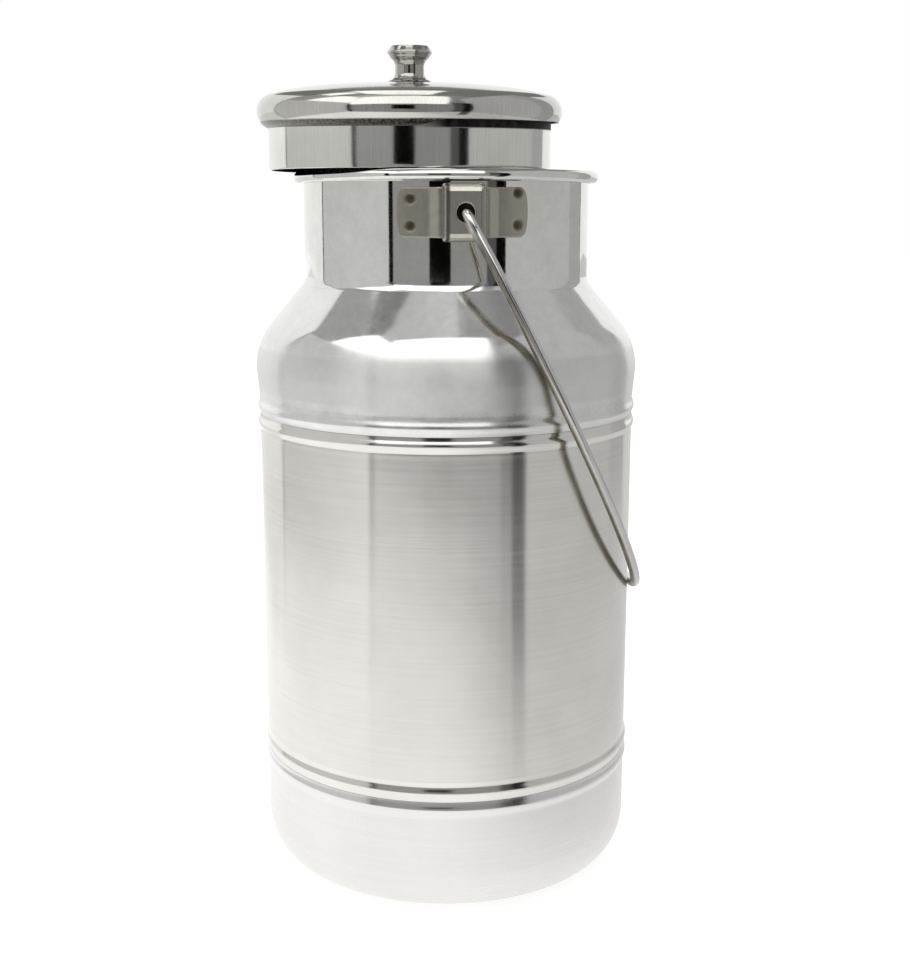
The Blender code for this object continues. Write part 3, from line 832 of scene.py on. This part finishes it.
QUARTER_TURN = 0.25
AROUND = (7.0, 7.0, 900.0)     # streaks run round the can
DRAWN = (3.0, 3.0, 400.0)      # and so do these coarser ones
LATHED = (30.0, 30.0, 1500.0)     # short fine turning lines
UPRIGHT = (1500.0, 1500.0, 25.0)     # streaks run up and down
MOTTLE = (160.0, 160.0, 160.0)     # grain without a direction, from coarse to fine
PICKLED = (300.0, 300.0, 300.0)
FROSTED = (400.0, 400.0, 400.0)
BRUSHED_ZONES = ((0.0000, 0.0729, 0.0006, 0.5), (0.0735, 0.2425, 0.0006, 1.0),
                 (0.2431, 0.2600, 0.0006, 0.5), (0.2610, 0.2915, 0.0045, 1.0))
PAN_ZONES = ((-0.1, 0.0545, 0.0006, 1.0), (0.0551, 0.1, 0.0006, 0.5))
# Painted shade, near black with rough gloss: in the bosses' hollows and round their holes, on the
# wire's heads in them, under the lid's cap and on the plug behind its gaping edge. Painted dark
# reflection in the creases at the bosses' sides.
PAINTED_SHADE = ("inside", (0.015, 0.014, 0.012), 0.60, (200.0, 200.0, 200.0), 0.95)
JOINT = ("joint", (0.020, 0.018, 0.013), 0.36, (700.0, 700.0, 60.0), 0.85)
# Painted shade, dark olive, on the wire's side that faces the can.
PAINTED_SHADE_INNER = ("inner", (0.16, 0.14, 0.10), 0.30, (90.0, 90.0, 90.0), 0.80)
SPOT = ("mark", (0.060, 0.042, 0.020), 0.45, (260.0, 260.0, 260.0), 0.80)
mirror = metal("polished_steel_fine", (0.69, 0.69, 0.655), (0.84, 0.84, 0.80), 0.055, 0.025,
               MOTTLE, 0.000003, wave=(18.0, (1.0, 1.0, 0.5)), wave_depth=0.0003)
cone = metal("shoulder_steel_fine", (0.71, 0.71, 0.69), (0.84, 0.84, 0.82), 0.105, 0.045,
             MOTTLE, 0.000004, wave=(36.0, (1.0, 1.0, 0.7)), wave_depth=0.00030,
             zones=BRUSHED_ZONES, zone_rough=0.36, stretched=1.0)
lid_steel = metal("lid_steel_fine", (0.65, 0.65, 0.61), (0.84, 0.84, 0.79), 0.10, 0.04,
                  UPRIGHT, 0.000004, wave=(18.0, (1.0, 1.0, 0.4)), wave_depth=0.0003,
                  marks=(PAINTED_SHADE,))
cap_steel = metal("cap_steel_fine", (0.50, 0.495, 0.465), (0.68, 0.675, 0.635), 0.10, 0.04,
                  UPRIGHT, 0.000004, wave=(18.0, (1.0, 1.0, 0.4)), wave_depth=0.0003,
                  marks=(JOINT, PAINTED_SHADE))
brushed = metal("brushed_steel_fine", (0.735, 0.72, 0.68), (0.845, 0.83, 0.79), 0.09, 0.03,
                AROUND, 0.000004, zones=BRUSHED_ZONES, zone_rough=0.21, stretched=1.0)
satin = metal("pan_steel_fine", (0.76, 0.75, 0.73), (0.83, 0.82, 0.80), 0.12, 0.03,
              DRAWN, 0.0000004, zones=PAN_ZONES, zone_rough=0.27, stretched=0.6)
dull = metal("ear_steel_fine", (0.37, 0.352, 0.300), (0.47, 0.452, 0.385), 0.37, 0.05,
             PICKLED, 0.000006, marks=(SPOT, PAINTED_SHADE))
pressed = metal("boss_steel_fine", (0.46, 0.445, 0.39), (0.58, 0.565, 0.50), 0.15, 0.04,
                PICKLED, 0.000004, marks=(PAINTED_SHADE,))
wire = metal("wire_steel_fine", (0.58, 0.58, 0.56), (0.70, 0.70, 0.68), 0.12, 0.03,
             PICKLED, 0.000002, marks=(PAINTED_SHADE_INNER, PAINTED_SHADE))
turned_steel = metal("knob_steel_fine", (0.42, 0.41, 0.385), (0.56, 0.55, 0.52), 0.10, 0.02,
                     LATHED, 0.000002)
fastener = metal("fastener_steel_fine", (0.58, 0.58, 0.58), (0.66, 0.66, 0.66), 0.28, 0.04,
                 FROSTED, 0.000004)

for piece, material in ((bottom, satin), (wall, brushed), (shoulder, cone), (neck, mirror),
                        (weld, cone), (straps[0], dull), (straps[1], dull), (bosses[0], pressed),
                        (bosses[1], pressed), (bail, wire), (cap, cap_steel), (plug, lid_steel),
                        (knob, turned_steel), (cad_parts["knob_washer"], fastener),
                        (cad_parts["knob_screw"], fastener)):
    paint(piece, material)


# ---- studio -----------------------------------------------------------------------------------
LENS, SENSOR, SHIFT = 51.79, 36.0, 0.0094
CAMERA_AT = (0.0, -0.7593, 0.3601)
CAMERA_DROP = 11.14       # degrees it looks down

STEEL = 0.80              # part of a screen's light that the steel sends on
FRONT, LEFT, RIGHT = -0.80, -0.735, 0.744     # the light tent's walls
NEAR_FRONT = FRONT + 0.004     # plane just before the front wall
TOP, ROOF = 0.85, 1.50    # heights of the front and left walls' lower parts and of the roof
BOX_LOW, BOX_HIGH = 0.67, 1.35     # the front light box leans in from one height to the other
BOX_TOP = 1.45            # height of the light boxes that lie under the roof
STRIP_SIDE, STRIP_LEFT = 0.475, 0.625     # where the tent's dark corner begins, dim and black
STRIP_DEEP = 0.085        # how far it goes round the corner
LEFT_BACK, RIGHT_BACK = 0.27, 0.69     # where the two side walls end
EDGE = 0.02               # width of those walls' dim edges
FLOOR_SIDE, FLOOR_BACK = 6.0, 9.0

scene = bpy.context.scene
scene.view_settings.view_transform = "Standard"

camera_data = bpy.data.cameras.new("camera")
camera_data.lens = LENS
camera_data.sensor_width = SENSOR
camera_data.shift_x = SHIFT
camera_data.clip_start = 0.01
camera = bpy.data.objects.new("camera", camera_data)
camera.location = CAMERA_AT
camera.rotation_euler = (math.radians(90.0 - CAMERA_DROP), 0.0, 0.0)
scene.collection.objects.link(camera)
scene.camera = camera


def glow(name, strength, cloud=0.0):
    """Material that only gives off light, with faint clouds when asked."""
    material = bpy.data.materials.new(name)
    material.use_nodes = True
    tree = material.node_tree
    tree.nodes.clear()
    lamp = tree.nodes.new("ShaderNodeEmission")
    out = tree.nodes.new("ShaderNodeOutputMaterial")
    tree.links.new(lamp.outputs[0], out.inputs["Surface"])
    lamp.inputs["Strength"].default_value = 1.0
    lamp.inputs["Color"].default_value = (*strength, 1.0)
    if cloud:
        where = tree.nodes.new("ShaderNodeTexCoord")
        texture = tree.nodes.new("ShaderNodeTexNoise")
        texture.inputs["Scale"].default_value = 2.2
        tree.links.new(where.outputs["Object"], texture.inputs["Vector"])
        spread = tree.nodes.new("ShaderNodeMapRange")
        spread.inputs["To Min"].default_value = 1.0 - cloud
        spread.inputs["To Max"].default_value = 1.0 + cloud
        tree.links.new(texture.outputs["Fac"], spread.inputs["Value"])
        tree.links.new(spread.outputs[0], lamp.inputs["Strength"])
    return material


def grey(level):
    """Linear colour of a screen that the steel shows at this display level."""
    return (((level + 0.055) / 1.055) ** 2.4 / STEEL,) * 3


def card(name, corners, material):
    """Flat screen of the light tent; only the steel's reflections see it."""
    mesh = bpy.data.meshes.new(name)
    mesh.from_pydata(corners, [], [tuple(range(len(corners)))])
    mesh.materials.append(material)
    made = bpy.data.objects.new(name, mesh)
    made.visible_camera = False
    made.visible_diffuse = False
    made.visible_shadow = False
    scene.collection.objects.link(made)


def upright(name, a, b, low, high, material):
    """Upright card over the line from a to b."""
    card(name, [(*a, low), (*b, low), (*b, high), (*a, high)], material)


def level(corners, height):
    """The same corners (x, y), all at one height."""
    return [(x, y, height) for x, y in corners]


def oblong(left, right, front, back):
    """Corners (x, y) of an oblong."""
    return [(left, front), (right, front), (right, back), (left, back)]


front_left = glow("front_left", grey(0.55))
front_right = glow("front_right", grey(0.52))
side = glow("side", grey(0.74))
side_right = glow("side_right", grey(0.67))
side_far = glow("side_far", grey(0.62))
side_top = glow("side_top", grey(0.60))
black = glow("black", (0.002, 0.002, 0.002))
dim = glow("dim", grey(0.30))
white = glow("white", (1.6, 1.6, 1.6))
roof_front = glow("roof_front", grey(0.72), 0.25)
roof_right = glow("roof_right", grey(0.54), 0.2)
roof_back = glow("roof_back", grey(0.48), 0.15)

# The front wall, with a dark window in its middle.
upright("tent_front_left", (LEFT, FRONT), (-0.06, FRONT), 0.0, TOP, front_left)
upright("tent_front_right", (-0.06, FRONT), (RIGHT, FRONT), 0.0, TOP, front_right)
card("tent_window", [(x, NEAR_FRONT, z) for x, z in ((-0.174, 0.284), (0.048, 0.270),
                                                     (0.048, 0.58), (-0.174, 0.58))], black)
# The dark corner at the right: the steel shows it as the dark line up the body.
upright("tent_strip", (STRIP_LEFT, NEAR_FRONT), (RIGHT, NEAR_FRONT), 0.0, TOP, black)
upright("tent_strip_end", (RIGHT - 0.002, FRONT), (RIGHT - 0.002, FRONT + STRIP_DEEP), 0.0, TOP,
        black)
card("tent_strip_floor", level([(STRIP_LEFT, FRONT), (RIGHT, FRONT), (RIGHT, FRONT + STRIP_DEEP),
                                (0.378, -0.393), (0.327, -0.441)], 0.0003), dim)
upright("tent_strip_side", (STRIP_SIDE, NEAR_FRONT), (STRIP_LEFT, NEAR_FRONT), 0.0, TOP, dim)
# The seam in the left corner, the side walls, their edges, the upper walls and the front's foot.
upright("tent_seam", (LEFT + 0.001, FRONT + 0.045), (LEFT + 0.045, FRONT + 0.001), 0.0, TOP,
        black)
upright("tent_left", (LEFT, LEFT_BACK), (LEFT, FRONT), 0.0, TOP, side)
upright("tent_right", (RIGHT, FRONT), (RIGHT, RIGHT_BACK), 0.0, ROOF, side_right)
upright("tent_right_far", (RIGHT - 0.001, 0.30), (RIGHT - 0.001, RIGHT_BACK), 0.0, ROOF, side_far)
upright("tent_left_edge", (LEFT, LEFT_BACK + EDGE), (LEFT, LEFT_BACK), 0.0, ROOF, dim)
upright("tent_left_top", (LEFT - 0.002, LEFT_BACK), (LEFT - 0.002, FRONT), TOP, ROOF, side_top)
upright("tent_front_top", (LEFT, FRONT - 0.002), (RIGHT, FRONT - 0.002), TOP, ROOF, front_right)
upright("tent_right_edge", (RIGHT, RIGHT_BACK), (RIGHT, RIGHT_BACK + EDGE), 0.0, ROOF, dim)
upright("tent_front_foot", (LEFT, FRONT + 0.003), (RIGHT, FRONT + 0.003), 0.0, 0.012, dim)
# The white light boxes.
card("tent_box_front", [(LEFT, FRONT, BOX_LOW), (0.40, FRONT, BOX_LOW), (0.37, -0.42, BOX_HIGH),
                        (-0.48, -0.50, BOX_HIGH)], white)
card("tent_box_left", [(LEFT, -0.05, TOP), (LEFT, FRONT, TOP), (-0.50, -0.50, 1.22),
                       (-0.51, -0.20, 1.195)], white)
card("tent_box_top", level([(-0.20, -0.27), (0.17, -0.27), (0.17, 0.45), (-0.36, 0.45),
                            (-0.36, -0.10)], BOX_TOP), white)
card("tent_box_corner", level(oblong(-0.74, -0.40, -0.02, 0.26), BOX_TOP), white)
# The roof and the floor, as the steel sees them.
card("tent_roof_front", level(oblong(-1.0, 0.12, -1.0, -0.27), ROOF), roof_front)
card("tent_roof_right", level(oblong(0.12, 1.0, -1.0, -0.27), ROOF), roof_right)
card("tent_roof_back", level(oblong(-1.0, 1.0, -0.27, 2.4), ROOF), roof_back)
ground = oblong(-FLOOR_SIDE, FLOOR_SIDE, FRONT, FLOOR_BACK)


def floor_glow():
    """The floor's light falls off to the right."""
    material = glow("tent_floor", (1.0, 1.0, 1.0))
    tree = material.node_tree
    lamp = next(n for n in tree.nodes if n.type == "EMISSION")
    where = tree.nodes.new("ShaderNodeTexCoord")
    apart = tree.nodes.new("ShaderNodeSeparateXYZ")
    fall = tree.nodes.new("ShaderNodeMapRange")
    fall.interpolation_type = "SMOOTHSTEP"
    tree.links.new(where.outputs["Object"], apart.inputs[0])
    tree.links.new(apart.outputs["X"], fall.inputs["Value"])
    for key, value in (("From Min", -0.05), ("From Max", 0.30), ("To Min", 1.10), ("To Max", 0.66)):
        fall.inputs[key].default_value = value
    tree.links.new(fall.outputs[0], lamp.inputs["Strength"])
    return material


card("tent_floor", level(ground, -0.0001), floor_glow())
card("tent_floor_left", level(oblong(-5.0, -0.45, 0.29, 6.0), 0.0002),
     glow("floor_left", grey(0.84)))

# The floor that the camera sees; the steel doesn't reflect it.
floor_material = bpy.data.materials.new("floor")
floor_material.use_nodes = True
floor_shader = floor_material.node_tree.nodes["Principled BSDF"]
floor_shader.inputs["Base Color"].default_value = (0.80, 0.80, 0.80, 1.0)
floor_shader.inputs["Roughness"].default_value = 0.9
floor_shader.inputs["Specular IOR Level"].default_value = 0.0
floor_shader.inputs["Emission Color"].default_value = (1.0, 1.0, 1.0, 1.0)
floor_shader.inputs["Emission Strength"].default_value = 0.45
floor_mesh = bpy.data.meshes.new("floor")
floor_mesh.from_pydata(level(ground, -0.0002), [], [(0, 1, 2, 3)])
floor_mesh.materials.append(floor_material)
floor = bpy.data.objects.new("floor", floor_mesh)
floor.visible_glossy = False
scene.collection.objects.link(floor)

world = bpy.data.worlds.new("studio")
world.use_nodes = True
world.node_tree.nodes["Background"].inputs["Color"].default_value = (1, 1, 1, 1)
world.node_tree.nodes["Background"].inputs["Strength"].default_value = 1.0
scene.world = world
